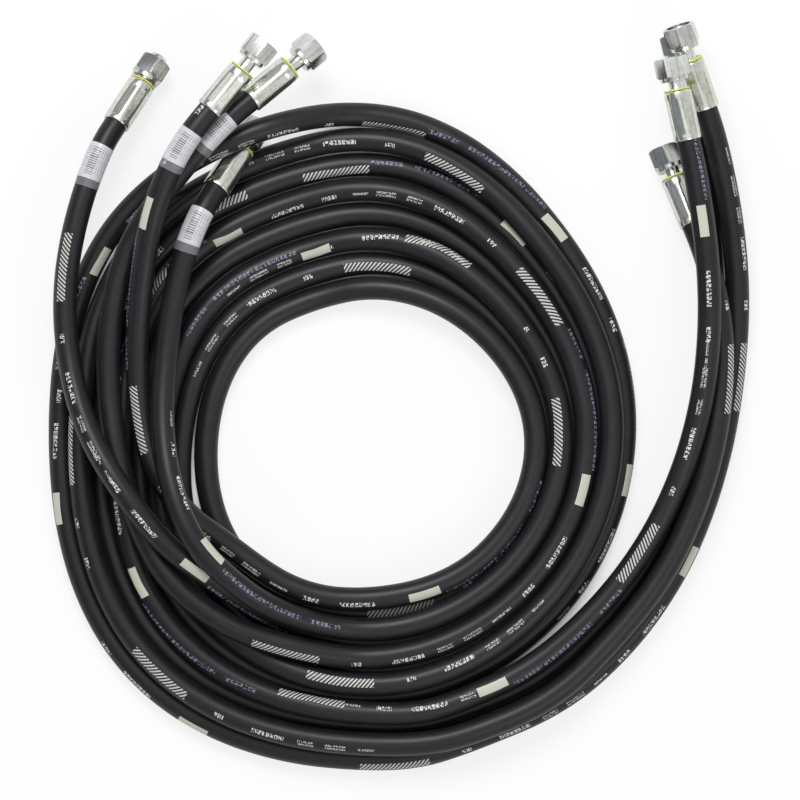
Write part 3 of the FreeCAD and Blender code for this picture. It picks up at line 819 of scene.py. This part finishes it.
def hexagon_cut(blank, corner):
    """The blank, cut by a hexagon that has a corner on top."""
    bm = bmesh.new()
    bmesh.ops.create_cone(bm, cap_ends=True, segments=6, radius1=corner * MM, radius2=corner * MM,
                          depth=30 * MM)
    upright = Matrix.Translation((10 * MM, 0, 0)) @ Matrix.Rotation(math.radians(90), 4, "Y")
    upright = upright @ Matrix.Rotation(math.radians(30), 4, "Z")
    bmesh.ops.transform(bm, matrix=upright, verts=bm.verts)
    pair = [placed("nut_blank", as_mesh("nut_blank", blank)),
            placed("nut_hexagon", as_mesh("nut_hexagon", bm))]
    cut = pair[0].modifiers.new("hexagon", "BOOLEAN")
    cut.operation = "INTERSECT"
    cut.object = pair[1]
    cut.solver = "EXACT"
    depsgraph = bpy.context.evaluated_depsgraph_get()
    mesh = bpy.data.meshes.new_from_object(pair[0].evaluated_get(depsgraph))
    for item in pair:
        bpy.data.objects.remove(item)
    bm = bmesh.new()
    bm.from_mesh(mesh)
    bpy.data.meshes.remove(mesh)
    bmesh.ops.remove_doubles(bm, verts=bm.verts, dist=5e-6)
    bmesh.ops.dissolve_limit(bm, angle_limit=math.radians(1), verts=bm.verts, edges=bm.edges)
    return bm


def thread_shape():
    """The inside thread: one helical ridge that is sunk a little into the nut's wall."""
    bm = bmesh.new()
    root = NUT_BORE + 0.05
    crest = NUT_BORE - 0.75
    spots = [bm.verts.new(((THREAD_FROM + x) * MM, 0, r * MM)) for x, r in
             ((0.0, root), (0.55, crest), (0.75, crest), (1.3, root))]
    face = bm.faces.new(spots)
    bmesh.ops.spin(bm, geom=[face], cent=(0, 0, 0), axis=(1, 0, 0),
                   angle=math.tau * THREAD_TURNS, dvec=(THREAD_PITCH * MM / THREAD_STEPS, 0, 0),
                   steps=THREAD_STEPS * THREAD_TURNS, use_merge=False, use_duplicate=True)
    bmesh.ops.remove_doubles(bm, verts=bm.verts, dist=1e-7)
    bmesh.ops.recalc_face_normals(bm, faces=bm.faces)
    return bm


def nut_shape():
    """Swivel nut: turned blank cut to a hexagon, edges rounded, thread inside."""
    corner = NUT_FLATS / 2 / math.cos(math.radians(30))
    blank = [(0, NUT_HOLE), (0, 10.0), (0.35, 10.35), (0.9, 10.5), (3.0, 10.5), (3.0, 11.1),
             (3.35, 11.75), (4.3, corner + 0.1), (15.9, corner + 0.1), (16.9, 11.95),
             (17.35, 11.2), (NUT_LONG, 10.6), (NUT_LONG, 8.95), (16.8, 8.99),
             (6.69, NUT_BORE), (6.69, 8.19), (4.06, NUT_HOLE)]
    bm = hexagon_cut(lathed(blank, 96), corner)
    soften(bm, 0.45, 24, 3)
    join(bm, thread_shape())
    return bm


def ring_shape():
    end = FERRULE_LONG + RING_LONG
    bm = lathed([(FERRULE_LONG, 6.02), (FERRULE_LONG, RING_RADIUS), (end, RING_RADIUS),
                 (end, 6.02)], 72)
    soften(bm, 0.3)
    return bm


SHAPES = {"ferrule": wrapped(ferrule_shape()), "stem": wrapped(stem_shape()),
          "nut": wrapped(nut_shape()), "ring": wrapped(ring_shape())}


# ---------------------------------------------------------------------------------------------
# The four assemblies
SLEEVE_FROM = HOSE_DEPTH + 20 * MM
SLEEVE_LONG = 32 * MM
SLEEVE_HIGH = 0.65 * MM
SLEEVE_ROWS = 24
LABEL_LONG = 26 * MM
LABEL_HIGH = 0.25 * MM
LABEL_REACH = 75
BORE_SKIP = 4


def offset(length, middle, places):
    """How far a length lies beyond the place that is nearest to its face's middle."""
    return length - min(places, key=lambda place: abs(middle - place))


def make_assembly(key, hose):
    line = LINES[key]
    radius = HOSE_OD / 2
    turn_at, turn_by = zip(*PRINT_TURN[key])

    def cover_uv(length, angle, middle):
        return length, (angle - math.radians(np.interp(length, turn_at, turn_by))) * radius

    def marks_uv(length, angle, middle):
        return offset(length, middle, BLOCKS[key]), offset(length, middle, STRIPES[key])

    rows = [(f, radius, s) for f, s in zip(line.frames, line.lengths)]
    bore = [(f, BORE / 2, s) for f, s in zip(line.frames, line.lengths)]
    # the bore is out of sight but for its two ends, so it has fewer rows
    back = bore[::-BORE_SKIP]
    if (len(bore) - 1) % BORE_SKIP:
        back = back + [bore[0]]
    cover = sleeved("hose_" + key, rows + back + rows[:1], 32, math.pi, COVER, True,
                    {"cover": cover_uv, "marks": marks_uv})
    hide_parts(*[part + key for part in
                         ("cover_start_", "cover_coil_", "cover_end_", "braid_", "tube_")])
    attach(cover, "root")

    def sleeve_rows(wide, narrow, long):
        lengths = [SLEEVE_FROM + long * i / SLEEVE_ROWS for i in range(SLEEVE_ROWS + 1)]
        outside = [(line.at(s), wide, s - SLEEVE_FROM) for s in lengths]
        inside = [(line.at(s), narrow, s - SLEEVE_FROM) for s in lengths[::-1]]
        return outside + inside + outside[:1]

    def plain_uv(length, angle, middle):
        return length, angle * radius

    paper = sleeved("printed_label_" + key, sleeve_rows(radius + LABEL_HIGH, radius, LABEL_LONG),
                    36, math.radians(LABEL_REACH), PAPER, False, {"cover": plain_uv})
    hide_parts("label_" + key)
    around_label = sleeve_rows(radius + SLEEVE_HIGH, radius + LABEL_HIGH, SLEEVE_LONG)
    film = sleeved("clear_sleeve_" + key, around_label, 48, math.pi, FILM, True,
                   {"cover": plain_uv})
    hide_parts("sleeve_" + key)
    on_hose = [paper, film]
    rings = bmesh.new()
    runs = (hose["start"][:2], hose["end"][:-3:-1])
    for side, run, nut_at, nut_turn in zip(("start", "end"), runs, NUT_AT[key], NUT_TURN[key]):
        place = fitting_place(*[Vector(p) + SHIFT for p in run])
        name = side + "_" + key
        ferrule = finished("zinc_ferrule_" + name, copy_mesh(SHAPES["ferrule"], place),
                           FERRULE_ZINC, 30)
        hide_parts("ferrule_" + name)
        stem = finished("zinc_stem_" + name, copy_mesh(SHAPES["stem"], place), STEM_ZINC)
        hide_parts("stem_" + name)
        nut_place = place @ Matrix.Translation((nut_at * MM, 0, 0))
        nut_place = nut_place @ Matrix.Rotation(math.radians(nut_turn), 4, "X")
        nut = finished("zinc_nut_" + name, copy_mesh(SHAPES["nut"], nut_place), NUT_ZINC, 30)
        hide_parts("nut_" + name)
        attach(nut, "nut_body_" + name)
        join(rings, copy_mesh(SHAPES["ring"], place))
        on_hose += [ferrule, stem, nut]
    yellow = finished("yellow_rings_" + key, rings, YELLOW)
    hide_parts("rings_" + key)
    on_hose.append(yellow)
    for piece in on_hose:
        if "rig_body" not in piece:
            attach(piece, "root")
    seals = frame["nodes"]["seals_" + key]
    for slot in seals.material_slots:
        slot.material = SEAL
    if not seals.material_slots:
        seals.data.materials.append(SEAL)


for key, hose in HOSES.items():
    make_assembly(key, hose)
for bm in SHAPES.values():
    bm.free()


# ---------------------------------------------------------------------------------------------
# Floor, background and studio light
WHITE = (1, 1, 1, 1)
FLOOR_TONE = 0.9
FLOOR_SEEN = 0.78
FLOOR_MIRRORED = 0.45
FLOOR_SIZE = 20
FLOOR_DROP = 0.2 * MM
GAP_REACH = 0.03
SKY_LIGHT = 0.55


def floor_look():
    """A pale surface that the camera, metal and clear film see mostly as white."""
    look = Nodes(bpy.data.materials.new("floor"))
    look.tree.nodes.clear()
    share = look.ray("Camera").most(look.ray("Transmission")) * FLOOR_SEEN
    share = share.most(look.ray("Glossy") * FLOOR_MIRRORED)
    # in a narrow gap between two hoses the floor lies in the dark, as it does on a real table
    open_air = look.node("ShaderNodeAmbientOcclusion", {"samples": 8}, {"Distance": GAP_REACH},
                         "AO")
    open_air = look.node("ShaderNodeMapRange", {}, {0: open_air, 1: 0.10, 2: 0.34})
    plain = look.node("ShaderNodeBsdfDiffuse", {}, {0: (FLOOR_TONE, FLOOR_TONE, FLOOR_TONE, 1)})
    glow = look.node("ShaderNodeEmission", {}, {0: WHITE})
    look.node("ShaderNodeOutputMaterial", {}, {0: look.blend(share * open_air, plain, glow)})
    return look.owner


bm = bmesh.new()
bmesh.ops.create_grid(bm, x_segments=1, y_segments=1, size=FLOOR_SIZE)
floor = placed("floor", as_mesh("floor", bm))
floor.data.materials.append(floor_look())
floor.location.z = -FLOOR_DROP


def studio_look():
    """The camera sees plain white. Metal, clear film and gloss see a studio: a white ceiling and
    pale walls, with one cooler, darker screen at the left. Everything else gets even light."""
    sky = Nodes(bpy.data.worlds.new("studio"))
    sky.tree.nodes.clear()
    way = sky.node("ShaderNodeTexCoord", {}, {}, "Generated")

    def towards(*aim):
        return sky.node("ShaderNodeVectorMath", {"operation": "DOT_PRODUCT"},
                        {0: way, 1: Vector(aim).normalized()}, "Value")

    def rising(value, low, high):
        return sky.node("ShaderNodeMapRange", {"interpolation_type": "SMOOTHSTEP"},
                        {0: value, 1: low, 2: high, 3: 0.0, 4: 1.0})

    def light(colour, strength):
        return sky.node("ShaderNodeBackground", {}, {0: colour, 1: strength})

    ceiling = rising(towards(-0.1, 0.30, 0.95), 0.72, 0.93)
    pale = rising(towards(0.90, -0.44, 0.0), -0.40, 0.12)
    skyline = rising(sky.node("ShaderNodeSeparateXYZ", {}, {0: way}, 2), 0.34, 0.12)
    walls = sky.mix(pale.most(skyline), (0.22, 0.235, 0.265), (0.76, 0.76, 0.75))
    room = light(sky.mix(ceiling, walls, WHITE[:3]), 1.0)
    mirrored = sky.ray("Glossy").most(sky.ray("Transmission"))
    inside = sky.blend(mirrored, light(WHITE, SKY_LIGHT), room)
    seen = sky.blend(sky.ray("Camera"), inside, light(WHITE, 1.0))
    sky.node("ShaderNodeOutputWorld", {}, {0: seen})
    return sky.owner


bpy.context.scene.world = studio_look()


def softbox(name, place, wide, power):
    """A square lamp that shines at the coil's middle."""
    lamp = bpy.data.lights.new(name, "AREA")
    lamp.shape = "SQUARE"
    lamp.size = wide
    lamp.energy = power
    holder = placed(name, lamp)
    holder.location = place
    holder.rotation_mode = "QUATERNION"
    holder.rotation_quaternion = (-Vector(place)).to_track_quat("-Z", "Y")
    holder.visible_camera = False


softbox("key_light", (-0.3, 1.3, 2.0), 0.9, 34)
softbox("fill_light", (0.9, -1.1, 1.6), 1.0, 7)

bpy.context.scene.view_settings.view_transform = "Standard"
